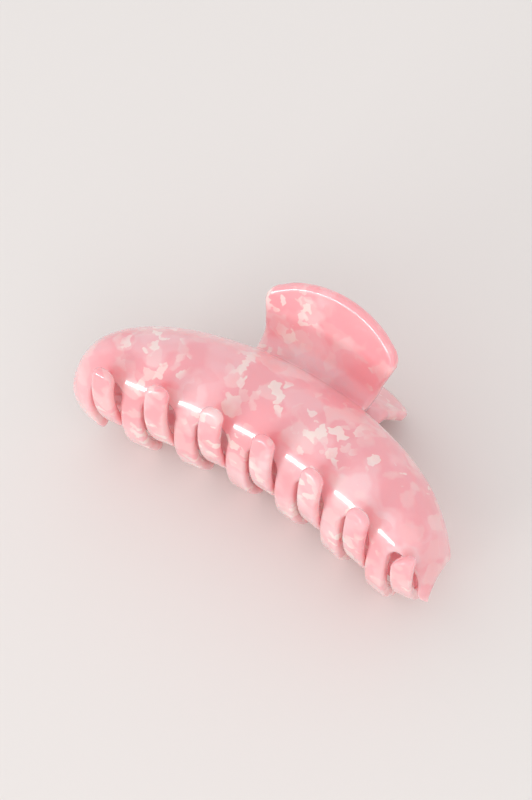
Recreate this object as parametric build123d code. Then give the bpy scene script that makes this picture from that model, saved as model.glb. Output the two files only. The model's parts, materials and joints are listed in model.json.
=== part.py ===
from build123d import *
import math
import os

# A large spring hair claw of pressed acetate sheet, lying closed on its lower jaw.
# It is drawn first in its own frame: X along the clip, Y from the teeth to the
# handles, Z across the two jaws, with the hinge axis on X at Y = Z = 0. The finished
# pieces are then tipped and dropped onto the surface that the clip lies on.
# All sizes are in millimetres and all angles in degrees.

# --- jaws -----------------------------------------------------------------------
SHEET = 2.8            # thickness of the acetate sheet
JAW_HALF = 53.9        # half the length of the upper jaw
LOWER_LEFT = 51.8      # reach of the lower jaw on the left, behind the first upper tooth
FRONT_WIDTH = 16.7     # half-width of the jaw's oval section on the teeth's side
BACK_WIDTH = 16.0      # and on the handle's side, at mid-length
SECTION_DEPTH = 24.0   # half-depth of that oval
SECTION_DROP = 5.1     # how far the oval's centre lies past the parting plane
SECTION_BACK = -11.45  # the oval's centre, measured from the hinge axis
ARCH = 0.0043          # sideways bow of the jaw: centre moves by ARCH * x * x
WIDTH_REACH = 55.8     # where the section would close to nothing
FRONT_POWER = 4.4      # how bluntly it closes on the teeth's side
BACK_POWER = 4.0       # and on the handle's side
DEPTH_LOSS = 1.24      # how much of the squared depth is lost towards the ends
DEPTH_POWER = 9.5      # how late it is lost
BACK_ANGLE = 142.5     # the sheet's back edge, round the section from the teeth

# --- teeth ----------------------------------------------------------------------
UPPER_TEETH = 8
LOWER_TEETH = 7
PITCH = 14.6
TEETH_SHIFT = 2.9      # both rows of teeth sit this far along the clip from mid-length
TOOTH_WIDTH = 6.0
SLOT_WIDTH = PITCH - TOOTH_WIDTH
END_SLOT_GAIN = 0.4    # the upper jaw's last slot is this much wider, towards the end
ROOT_ANGLE = 46.5      # where the middle slots end, round the section
ROOT_ANGLE_GAIN = 7.0  # how much further round the end slots are cut
LEFT_ROOT_ANGLE = 61.0  # root of the open gap outside the lower jaw's first tooth
LAST_TIP_ANGLE = 15.0  # the upper jaw's last tooth, a narrow band at its end, stops here
TIP_ANGLE = 46.0       # where the middle teeth end, beyond the parting plane
TIP_ANGLE_LOSS = 30.0  # how much shorter the teeth get at the ends
TIP_POWER = 10         # how late they get shorter
SIDE_PLAY = 1.0        # the lower jaw sits this far along its pin

# --- handles --------------------------------------------------------------------
HANDLE_ANGLE = 56.0    # slope of a handle from the parting plane
HANDLE_LENGTH = 17.5   # straight part, from the bend to the middle of its far edge
HANDLE_BOW = 7.6       # how far the far edge bows out beyond its corners
HANDLE_HALF = 19.5     # half-width across the corners
NECK_HALF = 16.1       # half-width at the neck
NECK_BEND = 3.5        # radius in the valley between body and handle
NECK_START = -4.2      # where the neck meets the body, along the handle's slope
HANDLE_CORNER = 4.5
BLANK_HALF = 21.0      # half-length of the strip that the handle is cut from
BLANK_STATIONS = 7     # sections that shape this strip
END_SHARES = (0, 0.21, 0.42, 0.6, 0.75, 0.84, 0.92, 0.97, 1)  # sections beyond it

# --- hinge ----------------------------------------------------------------------
PIN_RADIUS = 1.0
PIN_CLEARANCE = 0.05
HEAD_RADIUS = 1.9
HEAD_LENGTH = 0.8
EAR_THICK = 2.6
EAR_RADIUS = 3.3
EAR_FOOT = (16.0, 6.0)  # an ear stands in the wall between these angles before its edge
EAR_TOE = -60.0        # direction of its toe, seen from the bend's centre
UPPER_EAR = 7.6        # centre of each upper ear from mid-length
LOWER_EAR = 11.3       # centre of each lower ear from the lower jaw's own middle
WIRE = 1.1
COIL_RADIUS = 2.75     # to the middle of the wire
COIL_TURNS = 6
COIL_PITCH = 1.3
LEG_LENGTH = 11.0
LEG_RISE = 0.9         # straight rise of each leg off the coil
LEG_BEND = 1.6         # radius of the bends in each leg, to the middle of the wire
LEG_GAP = 0.4          # gap under each leg where it lies along its handle

CROWN = 90.0           # the top of the section, round from the teeth
STEEPEST_TILT = 30.0   # the clip never leans back further than this when it lies down
TILT_HALVINGS = 40
ARC_STEPS = 8          # steps along one side of a section's oval
CUT = 60.0             # larger than anything that a cutter has to clear
OVERRUN = 30.0


def cosd(angle):
    return math.cos(math.radians(angle))


def sind(angle):
    return math.sin(math.radians(angle))


def section(x, angle):
    """Centre, half-width and half-depth of the outer oval at a station.

    The half-width is that of the teeth's side up to the crown, then the handle's.
    """
    centre = SECTION_BACK - ARCH * x * x
    reach = abs(x) / WIDTH_REACH
    if angle < CROWN:
        width = FRONT_WIDTH * math.sqrt(1 - reach ** FRONT_POWER)
    else:
        width = BACK_WIDTH * math.sqrt(1 - reach ** BACK_POWER)
    depth = SECTION_DEPTH * math.sqrt(1 - DEPTH_LOSS * reach ** DEPTH_POWER)
    return centre, width, depth


def wall(x, angle, inset=0.0):
    """A point (y, z) on the jaw's wall, inset from its outer face."""
    centre, width, depth = section(x, angle)
    return (
        centre - (width - inset) * cosd(angle),
        -SECTION_DROP + (depth - inset) * sind(angle),
    )


def tip_angle(x):
    return TIP_ANGLE - TIP_ANGLE_LOSS * (abs(x) / JAW_HALF) ** TIP_POWER


def root_angle(x):
    return ROOT_ANGLE + ROOT_ANGLE_GAIN * (x / JAW_HALF) ** 2


def offset(point, angle, distance):
    return (point[0] + distance * cosd(angle), point[1] + distance * sind(angle))


def tangent_angle(x, angle):
    """Direction in which the wall runs towards the handle."""
    _, width, depth = section(x, angle)
    return math.degrees(math.atan2(depth * cosd(angle), width * sind(angle)))


def neck_centre(x):
    """Centre of the bend between body and handle."""
    return offset(wall(x, BACK_ANGLE), tangent_angle(x, BACK_ANGLE) + 90, NECK_BEND)


def ellipse_arc(x, inset, start, end):
    angles = [start + (end - start) * i / ARC_STEPS for i in range(ARC_STEPS + 1)]
    return Spline([wall(x, angle, inset) for angle in angles])


def place(x, edges):
    plane = Plane(origin=(x, 0, 0), x_dir=(0, 1, 0), z_dir=(1, 0, 0))
    return plane * make_face(edges)


def body_section(x):
    """The jaw's wall alone, from tooth tip to back edge."""
    tip = -tip_angle(x)
    return place(x, [
        ellipse_arc(x, 0, tip, BACK_ANGLE),
        Line(wall(x, BACK_ANGLE), wall(x, BACK_ANGLE, SHEET)),
        ellipse_arc(x, SHEET, BACK_ANGLE, tip),
        Line(wall(x, tip, SHEET), wall(x, tip)),
    ])


def handle_section(x):
    """The wall carried on through the neck's bend into the handle."""
    tip = -tip_angle(x)
    centre = neck_centre(x)
    start = tangent_angle(x, BACK_ANGLE) - 90
    end = HANDLE_ANGLE - 90
    middle = (start + end) / 2
    outer_start = wall(x, BACK_ANGLE)
    outer_end = offset(centre, end, NECK_BEND)
    inner_start = wall(x, BACK_ANGLE, SHEET)
    inner_end = offset(centre, end, NECK_BEND + SHEET)
    reach = HANDLE_LENGTH + SHEET
    return place(x, [
        ellipse_arc(x, 0, tip, BACK_ANGLE),
        ThreePointArc(outer_start, offset(centre, middle, NECK_BEND), outer_end),
        Line(outer_end, offset(outer_end, HANDLE_ANGLE, reach)),
        Line(offset(outer_end, HANDLE_ANGLE, reach), offset(inner_end, HANDLE_ANGLE, reach)),
        Line(offset(inner_end, HANDLE_ANGLE, reach), inner_end),
        ThreePointArc(inner_end, offset(centre, middle, NECK_BEND + SHEET), inner_start),
        ellipse_arc(x, SHEET, BACK_ANGLE, tip),
        Line(wall(x, tip, SHEET), wall(x, tip)),
    ])


def handle_outline():
    """Solid that keeps only the fan-shaped handle out of its strip."""
    foot = offset(neck_centre(0), HANDLE_ANGLE - 90, NECK_BEND)
    corner = HANDLE_LENGTH - HANDLE_BOW
    plane = Plane(
        origin=(0, foot[0], foot[1]),
        x_dir=(1, 0, 0),
        z_dir=(0, -sind(HANDLE_ANGLE), cosd(HANDLE_ANGLE)),
    )
    fan = make_face([
        Line((-NECK_HALF, NECK_START - OVERRUN), (-NECK_HALF, NECK_START)),
        Line((-NECK_HALF, NECK_START), (-HANDLE_HALF, corner)),
        ThreePointArc((-HANDLE_HALF, corner), (0, HANDLE_LENGTH), (HANDLE_HALF, corner)),
        Line((HANDLE_HALF, corner), (NECK_HALF, NECK_START)),
        Line((NECK_HALF, NECK_START), (NECK_HALF, NECK_START - OVERRUN)),
        Line((NECK_HALF, NECK_START - OVERRUN), (-NECK_HALF, NECK_START - OVERRUN)),
    ])
    far_corners = [v for v in fan.vertices() if abs(v.X) > (NECK_HALF + HANDLE_HALF) / 2]
    fan = fillet(far_corners, HANDLE_CORNER)
    return plane * extrude(fan, amount=OVERRUN, both=True)


def body_keeper():
    """Solid that holds the whole wall as far as its back edge."""
    faces = []
    for x in (-BLANK_HALF - SHEET, 0, BLANK_HALF + SHEET):
        edge = wall(x, BACK_ANGLE)
        inner = wall(x, BACK_ANGLE, SHEET)
        slope = math.degrees(math.atan2(edge[1] - inner[1], edge[0] - inner[0]))
        outside = offset(edge, slope, SHEET)
        inside = offset(inner, slope, -SHEET)
        faces.append(place(x, [
            Line(outside, inside),
            Line(inside, (inside[0], -CUT)),
            Line((inside[0], -CUT), (-CUT, -CUT)),
            Line((-CUT, -CUT), (-CUT, CUT)),
            Line((-CUT, CUT), (outside[0], CUT)),
            Line((outside[0], CUT), outside),
        ]))
    return loft(faces)


def end_stations(reach):
    return [BLANK_HALF + (reach - BLANK_HALF) * share for share in END_SHARES]


def jaw_sheet(left_reach, right_reach):
    """The pressed sheet of one jaw before its teeth are cut."""
    pitch = 2 * BLANK_HALF / (BLANK_STATIONS - 1)
    strip = loft([handle_section(i * pitch - BLANK_HALF) for i in range(BLANK_STATIONS)])
    centre = (strip & body_keeper()) + (strip & handle_outline())
    right = loft([body_section(x) for x in end_stations(right_reach)])
    left = loft([body_section(-x) for x in reversed(end_stations(left_reach))])
    return centre + left + right


def wall_frame(x, angle):
    """Frame on the outer wall: X along the clip, Y down the tooth, Z out of the wall."""
    point = wall(x, angle)
    down = tangent_angle(x, angle) + 180
    return Plane(
        origin=(x, point[0], point[1]),
        x_dir=(-1, 0, 0),
        z_dir=(0, cosd(down - 90), sind(down - 90)),
    )


def slot(x, root, open_side=0, extra=0.0):
    """Cutter for the gap between two teeth, with a round root.

    The gap outside an end tooth is open along the clip on one side. Extra width goes
    on the side of larger x.
    """
    radius = SLOT_WIDTH / 2
    frame = wall_frame(x, root)
    depth = 2 * OVERRUN
    gap = Pos(0, radius + CUT / 2, 0) * Box(SLOT_WIDTH, CUT, depth)
    gap = gap + Pos(0, radius, 0) * Cylinder(radius, depth)
    if extra:
        gap = gap + Pos(-extra, 0, 0) * gap + Pos(-extra / 2, CUT / 2, 0) * Box(extra, CUT, depth)
    if open_side:
        gap = gap + Pos(-open_side * CUT / 2, CUT / 2, 0) * Box(CUT, CUT, depth)
    return frame * gap


def rounded_tip(x, angle, width=TOOTH_WIDTH):
    """Cutter that leaves a round end on the tooth at this station."""
    radius = width / 2
    margin = (SLOT_WIDTH - TOOTH_WIDTH) / 2
    depth = 4 * SHEET
    block = Pos(0, (OVERRUN - radius) / 2, 0) * Box(width + 2 * margin, OVERRUN + radius, depth)
    return wall_frame(x, angle) * (block - Pos(0, -radius, 0) * Cylinder(radius, 2 * depth))


def tooth_stations(count):
    return [(i - (count - 1) / 2) * PITCH + TEETH_SHIFT for i in range(count)]


def upper_jaw():
    jaw = jaw_sheet(JAW_HALF, JAW_HALF)
    slots = tooth_stations(LOWER_TEETH)
    teeth = tooth_stations(UPPER_TEETH)
    for x in slots[:-1]:
        jaw = jaw - slot(x, root_angle(x))
    jaw = jaw - slot(slots[-1], root_angle(slots[-1]), extra=END_SLOT_GAIN)
    for x in teeth[1:-1]:
        jaw = jaw - rounded_tip(x, -tip_angle(x))
    inner = teeth[0] + TOOTH_WIDTH / 2
    first = (inner - JAW_HALF) / 2
    jaw = jaw - rounded_tip(first, -tip_angle(first), inner + JAW_HALF)
    inner = slots[-1] + SLOT_WIDTH / 2 + END_SLOT_GAIN
    last = (inner + JAW_HALF) / 2
    return jaw - rounded_tip(last, LAST_TIP_ANGLE, JAW_HALF - inner)


def lower_jaw():
    """Drawn as an upper jaw; turned over when the clip is put together.

    It ends flush with its last tooth.
    """
    teeth = tooth_stations(LOWER_TEETH)
    jaw = jaw_sheet(LOWER_LEFT, teeth[-1] + TOOTH_WIDTH / 2)
    gaps = tooth_stations(UPPER_TEETH)
    for x in gaps[1:-1]:
        jaw = jaw - slot(x, root_angle(x))
    jaw = jaw - slot(gaps[0], LEFT_ROOT_ANGLE, open_side=-1)
    for x in teeth:
        jaw = jaw - rounded_tip(x, -tip_angle(x))
    return jaw


def ear_outline():
    """Side view of a hinge ear: an eye round the pin on a foot in the jaw's neck."""
    foot = [wall(0, BACK_ANGLE - before, SHEET / 2) for before in EAR_FOOT]
    valley = offset(neck_centre(0), -90, NECK_BEND + SHEET / 2)
    toe = offset(neck_centre(0), EAR_TOE, NECK_BEND + SHEET / 2)
    eye = make_face(Polyline(
        (-EAR_RADIUS, 0), foot[0], foot[1], valley, toe, (EAR_RADIUS, 0), close=True))
    return eye + Circle(EAR_RADIUS)


def ear(x, jaw, hole_radius):
    side = Plane(origin=(x, 0, 0), x_dir=(0, 1, 0), z_dir=(1, 0, 0))
    blank = side * extrude(ear_outline(), amount=EAR_THICK / 2, both=True)
    hole = side * Cylinder(hole_radius, 2 * EAR_THICK)
    inside = (blank - jaw - hole).solids()
    return max(inside, key=lambda solid: solid.volume)


def pin():
    """Hinge pin, headed at one end and spread over at the other."""
    reach = LOWER_EAR + EAR_THICK / 2
    side = Plane(origin=(SIDE_PLAY, 0, 0), x_dir=(0, 1, 0), z_dir=(1, 0, 0))
    shaft = Cylinder(PIN_RADIUS, 2 * reach)
    for end in (-1, 1):
        head = Pos(0, 0, end * (reach + HEAD_LENGTH / 2)) * Cylinder(HEAD_RADIUS, HEAD_LENGTH)
        rim = head.edges().group_by(Axis.Z)[0 if end < 0 else -1]
        shaft = shaft + fillet(rim, HEAD_LENGTH / 2)
    return side * shaft


def leg_path(start, heading, side):
    """A spring leg: from the coil across to the handle, then along its inner face."""
    drop = NECK_BEND + SHEET + LEG_GAP + WIRE / 2
    bend = offset(neck_centre(0), HANDLE_ANGLE - 90, drop)
    rest = offset(bend, HANDLE_ANGLE, LEG_LENGTH)
    rise = start + heading * LEG_RISE
    return FilletPolyline(
        start,
        rise,
        (rise.X, bend[0], side * bend[1]),
        (rise.X, rest[0], side * rest[1]),
        radius=LEG_BEND)


def spring():
    """Torsion spring: a coil round the pin with one leg under each handle."""
    length = COIL_TURNS * COIL_PITCH
    across = Plane(origin=(-length / 2, 0, 0), x_dir=(0, 1, 0), z_dir=(1, 0, 0))
    coil_line = across * Helix(COIL_PITCH, length, COIL_RADIUS)
    profile = Plane(origin=coil_line @ 0, z_dir=coil_line % 0) * Circle(WIRE / 2)
    wire_form = sweep(profile, path=coil_line, is_frenet=True)
    for end, side in ((0, -1), (1, 1)):
        path = leg_path(coil_line @ end, (coil_line % end) * side, side)
        wire_end = Plane(origin=path @ 0, z_dir=path % 0) * Circle(WIRE / 2)
        wire_form = wire_form + sweep(wire_end, path=path)
    return wire_form


def turned_over(shape):
    """The lower jaw's pieces: mirrored in the parting plane and shifted along the pin."""
    return Pos(SIDE_PLAY, 0, 0) * mirror(shape, about=Plane.XY)


def resting_tilt():
    """Angle at which the clip's underside and the lower handle's tip are level.

    Seen with the lower jaw on top. The underside is this jaw's belly and the tips of
    the other jaw's teeth.
    """
    foot = offset(neck_centre(0), HANDLE_ANGLE - 90, NECK_BEND)
    handle_tip = offset(foot, HANDLE_ANGLE, HANDLE_LENGTH)
    under = [
        wall(x, angle)
        for x in range(0, int(LOWER_LEFT))
        for angle in range(int(ROOT_ANGLE), int(BACK_ANGLE))]
    for x in tooth_stations(UPPER_TEETH)[:-1]:
        y, z = wall(x, -tip_angle(x))
        under.append((y, -z))
    low, high = 0.0, STEEPEST_TILT
    for _ in range(TILT_HALVINGS):
        tilt = (low + high) / 2
        belly = max(z * cosd(tilt) - y * sind(tilt) for y, z in under)
        tip = handle_tip[1] * cosd(tilt) - handle_tip[0] * sind(tilt)
        if tip > belly:
            low = tilt
        else:
            high = tilt
    return tilt


def build():
    upper = upper_jaw()
    lower = lower_jaw()
    pieces = {
        "upper_jaw": upper,
        "lower_jaw": turned_over(lower),
        "upper_ear_left": ear(-UPPER_EAR, upper, PIN_RADIUS + PIN_CLEARANCE),
        "upper_ear_right": ear(UPPER_EAR, upper, PIN_RADIUS + PIN_CLEARANCE),
        "lower_ear_left": turned_over(ear(-LOWER_EAR, lower, PIN_RADIUS)),
        "lower_ear_right": turned_over(ear(LOWER_EAR, lower, PIN_RADIUS)),
        "hinge_pin": pin(),
        "hinge_spring": spring(),
    }
    tilt = resting_tilt()
    tilted = {name: Rot(tilt, 0, 0) * piece for name, piece in pieces.items()}
    boxes = [piece.bounding_box() for piece in tilted.values()]
    low = [min(tuple(box.min)[i] for box in boxes) for i in range(3)]
    high = [max(tuple(box.max)[i] for box in boxes) for i in range(3)]
    home = Pos(-(low[0] + high[0]) / 2, -(low[1] + high[1]) / 2, -low[2])
    print("tilt", tilt, "size", [high[i] - low[i] for i in range(3)])
    print("hinge axis at", home.position)
    return {name: home * piece for name, piece in tilted.items()}


if __name__ == "__main__":
    os.makedirs("parts", exist_ok=True)
    for name, piece in build().items():
        export_step(piece, f"parts/{name}.step")
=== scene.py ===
import bpy
import json
import math
import numpy as np
from mathutils import Matrix, Vector
from mathutils.geometry import delaunay_2d_cdt


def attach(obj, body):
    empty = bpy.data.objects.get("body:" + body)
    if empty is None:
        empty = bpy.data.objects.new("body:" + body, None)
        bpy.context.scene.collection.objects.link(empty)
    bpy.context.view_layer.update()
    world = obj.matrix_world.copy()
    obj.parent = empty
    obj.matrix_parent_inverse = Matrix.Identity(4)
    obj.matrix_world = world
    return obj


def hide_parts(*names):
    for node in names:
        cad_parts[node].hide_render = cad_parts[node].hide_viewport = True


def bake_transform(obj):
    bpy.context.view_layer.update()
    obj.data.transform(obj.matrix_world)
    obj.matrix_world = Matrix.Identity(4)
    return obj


# A large hair claw of marbled pink acetate, closed and lying on its lower jaw.
# Shapes are worked out in the clip's own frame, in millimetres: X along the clip, Y from
# the teeth to the handles, Z across the two jaws, with the hinge axis on X at Y = Z = 0.
# The last step of every shape tips it and moves it into the row frame, in metres.

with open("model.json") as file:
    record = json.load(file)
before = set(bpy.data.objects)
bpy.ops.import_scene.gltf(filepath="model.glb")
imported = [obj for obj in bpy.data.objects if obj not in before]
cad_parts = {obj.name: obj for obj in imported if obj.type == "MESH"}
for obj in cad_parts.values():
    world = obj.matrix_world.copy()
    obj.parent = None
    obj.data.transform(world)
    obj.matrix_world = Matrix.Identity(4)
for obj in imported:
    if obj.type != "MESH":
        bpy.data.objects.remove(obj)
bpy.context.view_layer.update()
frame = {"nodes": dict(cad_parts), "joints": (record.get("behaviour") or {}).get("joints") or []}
MM = 0.001
JOINT = frame["joints"][0]
HINGE = Vector(JOINT["pos_m"])
TILT = math.radians(1.748)   # the closed clip leans back until its handle's edge rests

# --- the jaws' sheet --------------------------------------------------------------
SHEET = 2.8
JAW_HALF = 53.85
LOWER_LEFT = 51.7
FRONT_WIDTH = 16.7
BACK_WIDTH = 16.0
SECTION_DEPTH = 24.0
SECTION_DROP = 5.1
SECTION_BACK = -11.45
ARCH = 0.0043
SECTION_REACH = 53.9
WIDTH_REACH = 55.8
FRONT_POWER = 4.4
BACK_POWER = 4.0
DEPTH_LOSS = 1.24
DEPTH_POWER = 9.5
BACK_ANGLE = 142.5

UPPER_TEETH = 8
LOWER_TEETH = 7
PITCH = 14.6
TEETH_SHIFT = 2.9
TOOTH_WIDTH = 6.0
END_SLOT_GAIN = 0.15
ROOT_ANGLE = 46.5
ROOT_ANGLE_GAIN = 7.0
LEFT_ROOT_ANGLE = 61.0
LAST_TIP_ANGLE = 15.0
TIP_ANGLE = 46.0
TIP_ANGLE_LOSS = 30.0
TIP_POWER = 10
TIP_LEAN = 0.7                # most that a tip leans, as a share of its width
END_CORNER = 3.0              # radius at the outer end of the upper jaw's first tooth
SIDE_PLAY = 1.0

HANDLE_ANGLE = 56.0
HANDLE_LENGTH = 17.5
HANDLE_BOW = 7.6
HANDLE_HALF = 19.5
NECK_HALF = 16.1
NECK_BEND = 3.5
NECK_FLARE = 0.9              # how much wider the handle is where the bend ends
HANDLE_CORNER = 4.5
NECK_FILLET = 2.2
BACK_CORNER = 5.0
GAP_CORNER = 1.8
BAND_ROOT = 2.6               # radius beside the upper jaw's end band
BAND_CORNER = 2.2             # radius at the band's two corners
END_ROOT = 2.9                # radius inside the open gaps at the lower jaw's ends

RIM = 1.15                    # how far the cut edges are rounded over
RIM_STEPS = 5
TIP_ROUND = 0.96              # share of the largest radius that fits a tooth's tip
ROOT_ROUND = 0.999            # and a slot's root
EDGE_POINTS = 8               # points along each back edge
BOW_POINTS = 9                # points along half of the handle's far edge
BOW_START = 0.68              # where they begin, as a share of the handle's half-width
ARC_STEP = 0.35               # longest step round an outline's arcs
OUTLINE_STEP = 0.6            # and along its straight stretches
TINY_STEP = 0.02              # shorter steps are dropped
STRAIGHT = math.radians(1)    # a smaller turn gets no arc
GRID = 1.3                    # spacing of the points inside a sheet
BEND_GRID = 0.6               # and of those in the bend between body and handle
BEND_REACH = 12.0             # how far this finer grid goes
EDGE_CLEARANCE = 0.45         # how far the grid keeps from the rim

# --- hinge ------------------------------------------------------------------------
WIRE = 1.1
COIL_RADIUS = 2.75
COIL_TURNS = 6
COIL_PITCH = 1.3
COIL_STEPS = 36               # points round each turn
LEG_LENGTH = 11.0
LEG_RISE = 0.9
LEG_BEND = 1.6
LEG_GAP = 0.4


# --- the wall: from (place along the clip, length round the section) to space -------
STATION_STEP = 0.5
STATION_REACH = 54.0
STATIONS = np.arange(-STATION_REACH, STATION_REACH + STATION_STEP / 2, STATION_STEP)
FIRST_TURN = -60.0            # beyond every tooth's tip
TURNS = np.linspace(FIRST_TURN, BACK_ANGLE, 401)
CROWN = 90.0


def section(x, turn):
    """Centre, half-width and half-depth; the half-width differs on the handle's side."""
    reach = np.abs(x)
    front = FRONT_WIDTH * np.sqrt(1 - (reach / WIDTH_REACH) ** FRONT_POWER)
    back = BACK_WIDTH * np.sqrt(1 - (reach / WIDTH_REACH) ** BACK_POWER)
    depth = SECTION_DEPTH * np.sqrt(1 - DEPTH_LOSS * (reach / WIDTH_REACH) ** DEPTH_POWER)
    return SECTION_BACK - ARCH * x * x, np.where(turn < CROWN, front, back), depth


def ellipse_point(x, turn):
    """Point (y, z) of the outer wall at this turn round the section, in degrees."""
    centre, width, depth = section(x, turn)
    turn = np.radians(turn)
    return centre - width * np.cos(turn), depth * np.sin(turn) - SECTION_DROP


def arc_lengths(x):
    """Lengths round the section at one station, from the crown, for every turn."""
    y, z = ellipse_point(x, TURNS)
    run = np.concatenate([[0], np.cumsum(np.hypot(np.diff(y), np.diff(z)))])
    return run - np.interp(CROWN, TURNS, run)


LENGTHS = np.array([arc_lengths(x) for x in STATIONS])


def between_stations(x, read):
    """Blend of what read(station index, selected points) gives on either side of x."""
    place = np.clip((x + STATION_REACH) / STATION_STEP, 0, len(STATIONS) - 1.001)
    low = place.astype(int)
    part = place - low
    out = np.zeros(len(x))
    for i in np.unique(low):
        here = low == i
        out[here] = read(i, here) * (1 - part[here]) + read(i + 1, here) * part[here]
    return out


CROWN_STATIONS = np.linspace(-STATION_REACH, STATION_REACH, 4001)
CROWN_Y, CROWN_Z = ellipse_point(CROWN_STATIONS, CROWN)
CROWN_RUN = np.concatenate([[0], np.cumsum(np.sqrt(
    np.diff(CROWN_STATIONS) ** 2 + np.diff(CROWN_Y) ** 2 + np.diff(CROWN_Z) ** 2))])
CROWN_RUN -= np.interp(0, CROWN_STATIONS, CROWN_RUN)


def run_at(x):
    """Length along the crown, from mid-length, of a place along the clip."""
    return np.interp(x, CROWN_STATIONS, CROWN_RUN)


def place_at(run):
    return np.interp(run, CROWN_RUN, CROWN_STATIONS)


def length_at(x, turn):
    """Length round the section, from the crown, of a turn in degrees."""
    x = np.atleast_1d(np.asarray(x, float))
    return between_stations(x, lambda i, here: np.interp(turn, TURNS, LENGTHS[i]))


def turn_at(x, length):
    """The turn that lies at this length round the section."""
    return between_stations(x, lambda i, here: np.interp(length[here], LENGTHS[i], TURNS))


def back_heading(x):
    """Direction of the wall where it leaves the oval for the bend."""
    _, width, depth = section(x, BACK_ANGLE)
    back = np.radians(BACK_ANGLE)
    return np.arctan2(depth * np.cos(back), width * np.sin(back))


def wall_points(x, length):
    """Points of the outer wall: round the section, through the bend, up the handle."""
    y, z = ellipse_point(x, turn_at(x, length))
    start = back_heading(x)
    handle = np.radians(HANDLE_ANGLE)
    beyond = np.maximum(length - length_at(x, BACK_ANGLE), 0)
    bend = NECK_BEND * (handle - start)
    heading = start + np.minimum(beyond, bend) / NECK_BEND
    y = y + NECK_BEND * (np.sin(heading) - np.sin(start))
    z = z + NECK_BEND * (np.cos(start) - np.cos(heading))
    straight = np.maximum(beyond - bend, 0)
    y = y + straight * np.cos(handle)
    z = z + straight * np.sin(handle)
    return np.stack([x, y, z], axis=1)


def wall_normals(x, length):
    """Unit vectors out of the wall, from points a small step to either side."""
    step = 0.05
    inner = np.clip(x, -SECTION_REACH + step, SECTION_REACH - step)
    along = wall_points(inner + step, length) - wall_points(inner - step, length)
    around = wall_points(inner, length + step) - wall_points(inner, length - step)
    normals = np.cross(along, around)
    return normals / np.linalg.norm(normals, axis=1)[:, None]


# --- flat outlines: corners in (x, length), outlines in (run, length) ----------------
def rounded(corners, closed=True, step=ARC_STEP):
    """Polyline through (point, radius) corners, each turned into an arc."""
    out = []
    count = len(corners)
    for i, (point, radius) in enumerate(corners):
        point = Vector(point)
        at_end = not closed and i in (0, count - 1)
        if radius <= 0 or at_end:
            out.append(point)
            continue
        before = (point - Vector(corners[i - 1][0])).normalized()
        after = (Vector(corners[(i + 1) % count][0]) - point).normalized()
        angle = before.angle(after)
        if angle < STRAIGHT:
            out.append(point)
            continue
        across = (after - before * before.dot(after)).normalized()
        start = point - before * radius * math.tan(angle / 2)
        steps = max(3, math.ceil(radius * angle / step))
        for j in range(steps + 1):
            a = angle * j / steps
            out.append(start + before * radius * math.sin(a) + across * radius * (1 - math.cos(a)))
    return out


def densified(points, longest, closed=True):
    """The same line with no step longer than this, and without its tiny steps."""
    out = []
    ends = points[1:] + (points[:1] if closed else [])
    for a, b in zip(points, ends):
        if (b - a).length < TINY_STEP:
            continue
        steps = max(1, math.ceil((b - a).length / longest))
        out += [a.lerp(b, j / steps) for j in range(steps)]
    if not closed:
        out.append(points[-1])
    return out


def tooth_stations(count):
    """Middles of a row of teeth along the clip."""
    return [(i - (count - 1) / 2) * PITCH + TEETH_SHIFT for i in range(count)]


def tip_turn(x):
    """The turn at which the teeth end: less far round towards the clip's ends."""
    return TIP_ANGLE_LOSS * (abs(x) / SECTION_REACH) ** TIP_POWER - TIP_ANGLE


def tip_corners(left, right, turn=None):
    """The two corners of a tooth's tip, leaning as the sheet narrows towards the ends."""
    middle = (left + right) / 2
    if turn is None:
        turn = tip_turn(middle)
    low, mean, high = [float(length_at(x, turn)[0]) for x in (left, middle, right)]
    width = float(run_at(right) - run_at(left))
    lean = max(-TIP_LEAN * width, min(TIP_LEAN * width, high - low))
    radius = width ** 2 / 2 / math.hypot(width, lean) * TIP_ROUND
    return [((left, mean - lean / 2, 0), radius), ((right, mean + lean / 2, 0), radius)]


def root_length(x):
    """Length round the section at which a slot ends."""
    return float(length_at(x, ROOT_ANGLE + ROOT_ANGLE_GAIN * (x / SECTION_REACH) ** 2)[0])


def teeth_corners(count):
    """Corners of the toothed edge, from left to right, without the sheet's two ends."""
    corners = []
    root_radius = (PITCH - TOOTH_WIDTH) / 2 * ROOT_ROUND
    stations = tooth_stations(count)
    for x in stations:
        if x > stations[0]:
            root = root_length(x - PITCH / 2)
            corners.append(((x - PITCH + TOOTH_WIDTH / 2, root, 0), root_radius))
            corners.append(((x - TOOTH_WIDTH / 2, root, 0), root_radius))
        corners += tip_corners(x - TOOTH_WIDTH / 2, x + TOOTH_WIDTH / 2)
    return corners


def with_end_teeth(corners):
    """The upper jaw's first tooth runs out to its end; its last is a narrow band there."""
    first = corners[1][0][0]
    edge = float(length_at(-JAW_HALF, tip_turn(JAW_HALF))[0])
    start = [((-JAW_HALF, edge, 0), END_CORNER)] + tip_corners((first - JAW_HALF) / 2, first)
    root = corners[-3]
    inner = root[0][0] + END_SLOT_GAIN
    tip = [(corner, BAND_CORNER) for corner, _ in tip_corners(inner, JAW_HALF, LAST_TIP_ANGLE)]
    return start + corners[2:-3] + [((inner, root[0][1], 0), BAND_ROOT)] + tip


def back_length(x):
    """Length round the section at the sheet's back edge."""
    return float(length_at(x, BACK_ANGLE)[0])


def handle_length(x, rise):
    """Length round the section at a height up the handle, measured from the bend's end."""
    bend = NECK_BEND * (math.radians(HANDLE_ANGLE) - back_heading(x))
    return back_length(x) + bend + rise + ARCH * x * x * math.cos(math.radians(HANDLE_ANGLE))


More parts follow.
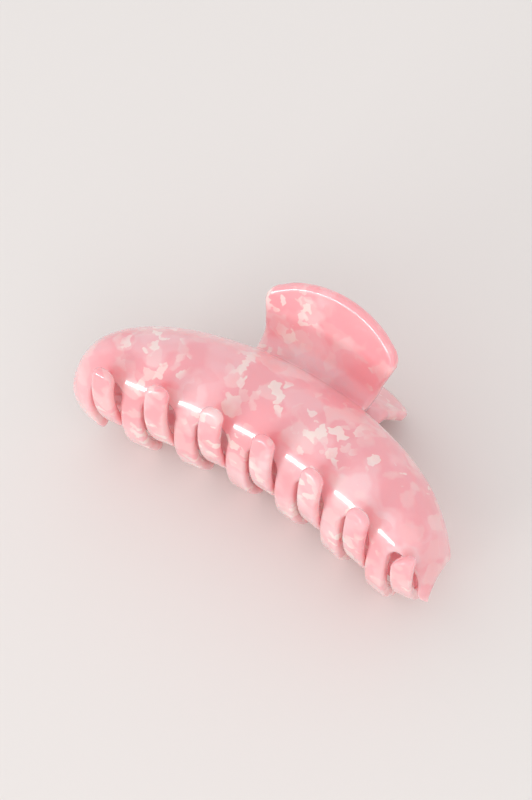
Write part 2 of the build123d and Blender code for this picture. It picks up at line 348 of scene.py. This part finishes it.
def back_side(reach):
    """Corners of the back edge and the handle, from the right end to mid-length."""
    corner = HANDLE_LENGTH - HANDLE_BOW
    bow = (HANDLE_HALF ** 2 + HANDLE_BOW ** 2) / (2 * HANDLE_BOW)
    side = [((reach, back_length(reach), 0), BACK_CORNER)]
    edge = np.linspace(reach - 2 * BACK_CORNER, NECK_HALF + 2 * NECK_FILLET, EDGE_POINTS)
    side += [((x, back_length(x), 0), 0) for x in edge]
    side += [((NECK_HALF, back_length(NECK_HALF), 0), NECK_FILLET)]
    side += [((NECK_HALF + NECK_FLARE, handle_length(NECK_HALF + NECK_FLARE, 0), 0), 0)]
    side += [((HANDLE_HALF, handle_length(HANDLE_HALF, corner), 0), HANDLE_CORNER)]
    for x in np.linspace(HANDLE_HALF * BOW_START, 0, BOW_POINTS):
        rise = corner + math.sqrt(bow ** 2 - x ** 2) - (bow - HANDLE_BOW)
        side.append(((x, handle_length(x, rise), 0), 0))
    return side


def back_corners(left_reach, right_reach):
    """Corners of the back edge and the handle, from the right end to the left."""
    left = back_side(left_reach)[:-1]
    return back_side(right_reach) + [
        ((-point[0], point[1], 0), radius) for point, radius in reversed(left)]


def sheet_outline(corners):
    """Rounded outline in (run along the crown, length round the section)."""
    flat = [((float(run_at(point[0])), point[1], 0), radius) for point, radius in corners]
    return densified(rounded(flat), OUTLINE_STEP)


def upper_outline():
    return sheet_outline(
        with_end_teeth(teeth_corners(UPPER_TEETH)) + back_corners(JAW_HALF, JAW_HALF))


def lower_outline():
    """Its left end runs out behind the first upper tooth; its right is its last tooth's side."""
    inner = tooth_stations(UPPER_TEETH)[0] + (PITCH - TOOTH_WIDTH) / 2
    root = float(length_at(tooth_stations(UPPER_TEETH)[0], LEFT_ROOT_ANGLE)[0])
    left = [((-LOWER_LEFT, root, 0), GAP_CORNER), ((inner, root, 0), END_ROOT)]
    teeth = teeth_corners(LOWER_TEETH)
    return sheet_outline(left + teeth + back_corners(LOWER_LEFT, teeth[-1][0][0]))


# --- meshes -----------------------------------------------------------------------
def inward(outline):
    """Unit vectors into the outline, which runs anticlockwise."""
    ahead = np.roll(outline, -1, axis=0) - np.roll(outline, 1, axis=0)
    ahead /= np.linalg.norm(ahead, axis=1)[:, None]
    return np.stack([-ahead[:, 1], ahead[:, 0]], axis=1)


def grid_inside(outline, margin):
    """Points of a fine grid that lie inside the outline and clear of it."""
    low, high = outline.min(0), outline.max(0)
    bend_start = back_length(0) - 1
    bend_end = bend_start + BEND_REACH
    rows = np.concatenate([
        np.arange(low[1] + GRID / 2, bend_start, GRID),
        np.arange(bend_start, bend_end, BEND_GRID),
        np.arange(bend_end, high[1], GRID),
    ])
    columns = np.arange(low[0] + GRID / 2, high[0], GRID)
    ahead = np.roll(outline, -1, axis=0)
    found = []
    for row in rows:
        crosses = (outline[:, 1] > row) != (ahead[:, 1] > row)
        a, b = outline[crosses], ahead[crosses]
        at = np.sort(a[:, 0] + (row - a[:, 1]) / (b[:, 1] - a[:, 1]) * (b[:, 0] - a[:, 0]))
        inside = np.searchsorted(at, columns) % 2 == 1
        near = outline[np.abs(outline[:, 1] - row) < margin * 1.5]
        for x in columns[inside]:
            if len(near) == 0 or np.min(np.hypot(near[:, 0] - x, near[:, 1] - row)) > margin:
                found.append((x, row))
    return np.array(found)


def sheet_mesh(outline):
    """Points (run, length, depth below the outer face) and faces of a sheet with round edges."""
    edge = np.array([p[:2] for p in outline])
    into = inward(edge)
    rim_outline = edge + into * RIM
    filling = grid_inside(rim_outline, EDGE_CLEARANCE)
    flat = np.concatenate([rim_outline, filling])
    count = len(rim_outline)
    found = delaunay_2d_cdt(
        [Vector(p) for p in flat], [], [list(range(count))], 1, 1e-7)
    order = [ids[0] for ids in found[3]]
    triangles = [[order[i] for i in face] for face in found[2]]
    profile = []
    for j in range(1, RIM_STEPS + 1):
        a = math.pi / 2 * j / RIM_STEPS
        profile.append((RIM * (1 - math.sin(a)), RIM * (1 - math.cos(a))))
    profile += [(inset, SHEET - depth) for inset, depth in reversed(profile)]
    points = [np.column_stack([flat, np.full(len(flat), depth)]) for depth in (0, SHEET)]
    rings = [np.arange(count)]
    total = 2 * len(flat)
    for inset, depth in profile:
        points.append(np.column_stack([edge + into * inset, np.full(count, depth)]))
        rings.append(np.arange(total, total + count))
        total += count
    rings.append(np.arange(len(flat), len(flat) + count))
    faces = [tuple(face) for face in triangles]
    faces += [tuple(len(flat) + i for i in reversed(face)) for face in triangles]
    for a, b in zip(rings, rings[1:]):
        for i in range(count):
            j = (i + 1) % count
            faces.append((int(a[j]), int(a[i]), int(b[i]), int(b[j])))
    return np.concatenate(points), faces


def to_row(points):
    """From the clip's own frame in millimetres to the row frame in metres."""
    turn = np.array(Matrix.Rotation(TILT, 3, "X"))
    return points @ turn.T * MM + np.array(HINGE)


def new_piece(name, points, faces, material):
    mesh = bpy.data.meshes.new(name)
    mesh.from_pydata([tuple(p) for p in points], [], faces)
    mesh.update()
    mesh.shade_smooth()
    mesh.materials.append(material)
    piece = bpy.data.objects.new(name, mesh)
    bpy.context.scene.collection.objects.link(piece)
    return piece


def jaw(name, outline, material, lower):
    """One jaw's sheet; the lower jaw is turned over and set along the pin."""
    points, faces = sheet_mesh(outline)
    run, length, depth = points.T
    x = place_at(run)
    space = wall_points(x, length) - wall_normals(x, length) * depth[:, None]
    if lower:
        space = space * np.array([1, 1, -1]) + np.array([SIDE_PLAY, 0, 0])
        faces = [tuple(reversed(face)) for face in faces]
    return new_piece(name, to_row(space), faces, material)


def tube(name, path, radius, material, sides=16):
    """Round wire along a path in the clip's own frame, with domed ends."""
    path = [Vector(p) for p in path]
    ahead = [(b - a).normalized() for a, b in zip(path, path[1:])]
    ahead.append(ahead[-1])
    side = ahead[0].orthogonal().normalized()
    rings = []
    for i, point in enumerate(path):
        before = ahead[max(i - 1, 0)]
        direction = (before + ahead[i]).normalized()
        side = (side - direction * side.dot(direction)).normalized()
        rings.append((point, side.copy(), direction.cross(side), 1.0))
    dome = [(0.3, 0.96), (0.6, 0.8), (0.85, 0.53), (0.97, 0.24)]
    first, last = rings[0], rings[-1]
    rings = (
        [(first[0] - ahead[0] * radius * d, first[1], first[2], w) for d, w in reversed(dome)]
        + rings
        + [(last[0] + ahead[-1] * radius * d, last[1], last[2], w) for d, w in dome])
    points = []
    for centre, a, b, share in rings:
        for k in range(sides):
            turn = 2 * math.pi * k / sides
            points.append(centre + (a * math.cos(turn) + b * math.sin(turn)) * radius * share)
    faces = []
    for i in range(len(rings) - 1):
        for k in range(sides):
            n = (k + 1) % sides
            faces.append((i * sides + k, i * sides + n, (i + 1) * sides + n, (i + 1) * sides + k))
    faces.append(tuple(reversed(range(sides))))
    faces.append(tuple(range((len(rings) - 1) * sides, len(rings) * sides)))
    return new_piece(name, to_row(np.array([tuple(p) for p in points])), faces, material)


def spring_path():
    """One leg under the lower handle, six turns round the pin, one leg under the upper."""
    length = COIL_TURNS * COIL_PITCH
    handle = math.radians(HANDLE_ANGLE)
    start = back_heading(0.0)
    y, z = ellipse_point(0.0, BACK_ANGLE)
    bend_y = y - NECK_BEND * math.sin(start)
    bend_z = z + NECK_BEND * math.cos(start)
    drop = NECK_BEND + SHEET + LEG_GAP + WIRE / 2
    near = (bend_y + drop * math.sin(handle), bend_z - drop * math.cos(handle))
    far = (near[0] + LEG_LENGTH * math.cos(handle), near[1] + LEG_LENGTH * math.sin(handle))

    def leg(x, side):
        corners = [
            ((x, COIL_RADIUS, 0), 0),
            ((x, COIL_RADIUS, side * LEG_RISE), LEG_BEND),
            ((x, near[0], side * near[1]), LEG_BEND),
            ((x, far[0], side * far[1]), 0),
        ]
        return densified(rounded(corners, closed=False, step=0.25), 0.8, closed=False)

    steps = COIL_TURNS * COIL_STEPS
    coil = []
    for i in range(1, steps):
        turn = 2 * math.pi * COIL_TURNS * i / steps
        x = -length / 2 + length * i / steps
        coil.append(Vector((x, COIL_RADIUS * math.cos(turn), COIL_RADIUS * math.sin(turn))))
    return leg(-length / 2, -1)[::-1] + coil + leg(length / 2, 1)


# --- materials --------------------------------------------------------------------
def linear(red, green, blue):
    def channel(v):
        v /= 255
        return v / 12.92 if v <= 0.04045 else ((v + 0.055) / 1.055) ** 2.4
    return (channel(red), channel(green), channel(blue), 1.0)


class Nodes:
    """Short way to build a material's node tree."""

    def __init__(self, name):
        self.material = bpy.data.materials.new(name)
        self.material.use_nodes = True
        self.tree = self.material.node_tree
        self.shader = self.tree.nodes["Principled BSDF"]

    def add(self, kind, inputs=None, **settings):
        node = self.tree.nodes.new(kind)
        for key, value in settings.items():
            setattr(node, key, value)
        for key, value in (inputs or {}).items():
            self.set(node, key, value)
        return node

    def set(self, node, key, value):
        if isinstance(value, bpy.types.NodeSocket):
            self.tree.links.new(value, node.inputs[key])
        else:
            node.inputs[key].default_value = value

    def mix(self, factor, a, b):
        node = self.add("ShaderNodeMix", data_type="RGBA")
        self.set(node, 0, factor)
        self.set(node, 6, a)
        self.set(node, 7, b)
        return node.outputs[2]

    def math(self, operation, a, b=0.0):
        node = self.add("ShaderNodeMath", operation=operation)
        self.set(node, 0, a)
        self.set(node, 1, b)
        return node.outputs[0]

    def ramp(self, value, stops):
        node = self.add("ShaderNodeValToRGB")
        elements = node.color_ramp.elements
        while len(elements) < len(stops):
            elements.new(0.5)
        for element, (place, colour) in zip(elements, stops):
            element.position = place
            element.color = colour if len(colour) == 4 else (*colour, 1)
        self.set(node, 0, value)
        return node.outputs[0]

    def warped(self, strength, scale):
        """Object coordinates pushed about by noise, so that cells lose their straight sides."""
        place = self.add("ShaderNodeTexCoord").outputs["Object"]
        noise = self.add("ShaderNodeTexNoise", {"Vector": place, "Scale": scale, "Detail": 2.0})
        push = self.add("ShaderNodeVectorMath", operation="SUBTRACT")
        self.set(push, 0, noise.outputs["Color"])
        push.inputs[1].default_value = (0.5, 0.5, 0.5)
        size = self.add("ShaderNodeVectorMath", operation="SCALE")
        self.set(size, 0, push.outputs[0])
        size.inputs["Scale"].default_value = strength
        total = self.add("ShaderNodeVectorMath", operation="ADD")
        self.set(total, 0, place)
        self.set(total, 1, size.outputs[0])
        return total.outputs[0]


BASE_PINK = linear(250, 183, 187)
DEEP_PINK = linear(248, 168, 173)
LIGHT_PINK = linear(251, 200, 202)
PEARL = linear(250, 214, 210)
FLAKE = linear(255, 240, 230)


def cells(nodes, place, scale, softness):
    """Three random values, each constant over a cell and blended into the next one's."""
    settings = {"Vector": place, "Scale": scale, "Smoothness": softness}
    node = nodes.add("ShaderNodeTexVoronoi", settings, feature="SMOOTH_F1")
    return nodes.add("ShaderNodeSeparateColor", {"Color": node.outputs["Color"]}).outputs


def acetate():
    """Pearly flakes of several sizes, set in clear pink and seen through its surface."""
    nodes = Nodes("marbled_acetate")
    wide = nodes.warped(0.009, 150.0)
    patches = cells(nodes, wide, 110.0, 1.0)
    colour = nodes.ramp(patches[0], [
        (0.25, DEEP_PINK), (0.42, BASE_PINK), (0.58, BASE_PINK), (0.8, LIGHT_PINK)])
    fine = nodes.warped(0.004, 230.0)
    chips = cells(nodes, fine, 200.0, 0.6)
    pale = nodes.ramp(chips[1], [(0.55, (0, 0, 0)), (0.75, (1, 1, 1))])
    colour = nodes.mix(nodes.math("MULTIPLY", pale, 0.42), colour, PEARL)
    deep = nodes.ramp(chips[2], [(0.62, (0, 0, 0)), (0.78, (1, 1, 1))])
    colour = nodes.mix(nodes.math("MULTIPLY", deep, 0.45), colour, DEEP_PINK)
    small = nodes.warped(0.003, 420.0)
    specks = cells(nodes, small, 420.0, 0.3)
    bright = nodes.ramp(specks[0], [(0.70, (0, 0, 0)), (0.84, (1, 1, 1))])
    crowd = nodes.add("ShaderNodeTexNoise", {"Vector": wide, "Scale": 55.0, "Detail": 1.0})
    where = nodes.ramp(crowd.outputs[0], [(0.48, (0, 0, 0)), (0.58, (1, 1, 1))])
    bright = nodes.math("MULTIPLY", bright, where)
    colour = nodes.mix(nodes.math("MULTIPLY", bright, 0.6), colour, FLAKE)
    shader = nodes.shader
    nodes.set(shader, "Base Color", colour)
    shader.inputs["Roughness"].default_value = 0.2
    shader.inputs["IOR"].default_value = 1.5
    shader.inputs["Subsurface Weight"].default_value = 0.75
    shader.inputs["Subsurface Radius"].default_value = (1.0, 0.4, 0.36)
    shader.inputs["Subsurface Scale"].default_value = 0.006
    shader.inputs["Coat Weight"].default_value = 1.0
    shader.inputs["Coat Roughness"].default_value = 0.03
    ripple = nodes.add("ShaderNodeTexNoise", {"Vector": fine, "Scale": 260.0, "Detail": 1.0})
    bump = nodes.add(
        "ShaderNodeBump", {"Height": ripple.outputs[0], "Strength": 0.06, "Distance": 0.001})
    nodes.set(shader, "Normal", bump.outputs[0])
    return nodes.material


def steel(name, shade, roughness):
    """Plated wire, slightly uneven in tone."""
    nodes = Nodes(name)
    place = nodes.add("ShaderNodeTexCoord").outputs["Object"]
    wear = nodes.add("ShaderNodeTexNoise", {"Vector": place, "Scale": 900.0, "Detail": 3.0})
    tone = nodes.ramp(wear.outputs[0], [
        (0.3, (shade * 0.85, shade * 0.84, shade * 0.82)), (0.7, (shade, shade, shade))])
    nodes.set(nodes.shader, "Base Color", tone)
    nodes.shader.inputs["Metallic"].default_value = 1.0
    nodes.shader.inputs["Roughness"].default_value = roughness
    return nodes.material


def paper():
    """The matt, pale surface that the clip lies on."""
    nodes = Nodes("pale_floor")
    nodes.shader.inputs["Base Color"].default_value = linear(234, 229, 224)
    nodes.shader.inputs["Roughness"].default_value = 0.85
    nodes.shader.inputs["Specular IOR Level"].default_value = 0.2
    return nodes.material


# --- putting it together ------------------------------------------------------------
ACETATE = acetate()
PIN_STEEL = steel("pin_steel", 0.62, 0.25)
SPRING_STEEL = steel("spring_steel", 0.55, 0.3)

for node, outline, body in (
        ("upper_jaw", upper_outline(), "upper"), ("lower_jaw", lower_outline(), "lower")):
    piece = jaw(node + "_sheet", outline, ACETATE, body == "lower")
    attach(piece, body)
    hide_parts(node)

for node, obj in frame["nodes"].items():
    if "ear" in node or node == "hinge_pin":
        obj.data.materials.clear()
        obj.data.materials.append(PIN_STEEL if node == "hinge_pin" else ACETATE)

spring = tube("hinge_spring_wire", spring_path(), WIRE / 2, SPRING_STEEL)
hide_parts("hinge_spring")
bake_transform(spring)

# --- floor, light and camera ----------------------------------------------------------
FLOOR_SIZE = 6.0
floor_mesh = bpy.data.meshes.new("floor")
floor_mesh.from_pydata(
    [(x * FLOOR_SIZE, y * FLOOR_SIZE, 0) for x, y in ((-1, -1), (1, -1), (1, 1), (-1, 1))],
    [], [(0, 1, 2, 3)])
floor_mesh.materials.append(paper())
floor = bpy.data.objects.new("floor", floor_mesh)
bpy.context.scene.collection.objects.link(floor)

world = bpy.data.worlds.new("studio")
world.use_nodes = True
world.node_tree.nodes["Background"].inputs[0].default_value = linear(252, 252, 255)
world.node_tree.nodes["Background"].inputs[1].default_value = 0.94
bpy.context.scene.world = world
bpy.context.scene.view_settings.view_transform = "Standard"


def soft_box(name, place, width, height, power):
    """A rectangular light that faces the clip."""
    light = bpy.data.lights.new(name, "AREA")
    light.shape = "RECTANGLE"
    light.size = width
    light.size_y = height
    light.energy = power
    lamp = bpy.data.objects.new(name, light)
    lamp.location = place
    lamp.rotation_euler = (Vector((0, 0, 0.02)) - Vector(place)).to_track_quat("-Z", "Y").to_euler()
    bpy.context.scene.collection.objects.link(lamp)


soft_box("window", (-0.32, -0.92, 0.22), 0.45, 0.10, 3.0)
soft_box("fill", (0.8, -0.6, 1.0), 0.9, 0.9, 1.2)

AZIMUTH = math.radians(34.35)
ELEVATION = math.radians(57.59)
LEAN = TILT - math.radians(10.858)   # turn about the clip's length, which also rolls the picture
DISTANCE = 0.480
FOCAL = 1920 / 800            # focal length in picture heights
AIM_FROM_HINGE = Vector((0, -0.014637, -0.002804))
AIM_OFFSET = Vector((0.002865, 0.009855))   # how far the aim lies right of and below the axis

leaning = Matrix.Rotation(LEAN, 3, "X")
right = leaning @ Vector((math.cos(AZIMUTH), math.sin(AZIMUTH), 0))
down = leaning @ Vector((
    math.sin(AZIMUTH) * math.sin(ELEVATION), -math.cos(AZIMUTH) * math.sin(ELEVATION),
    -math.cos(ELEVATION)))
forward = right.cross(down)
aim = HINGE + leaning @ AIM_FROM_HINGE
lens = bpy.data.cameras.new("camera")
lens.sensor_fit = "VERTICAL"
lens.sensor_height = 36.0
lens.lens = FOCAL * lens.sensor_height
lens.clip_start = 0.01
camera = bpy.data.objects.new("camera", lens)
spot = aim - right * AIM_OFFSET.x - down * AIM_OFFSET.y - forward * DISTANCE
turn = Matrix((right, -down, -forward)).transposed().to_4x4()
camera.matrix_world = Matrix.Translation(spot) @ turn
bpy.context.scene.collection.objects.link(camera)
bpy.context.scene.camera = camera
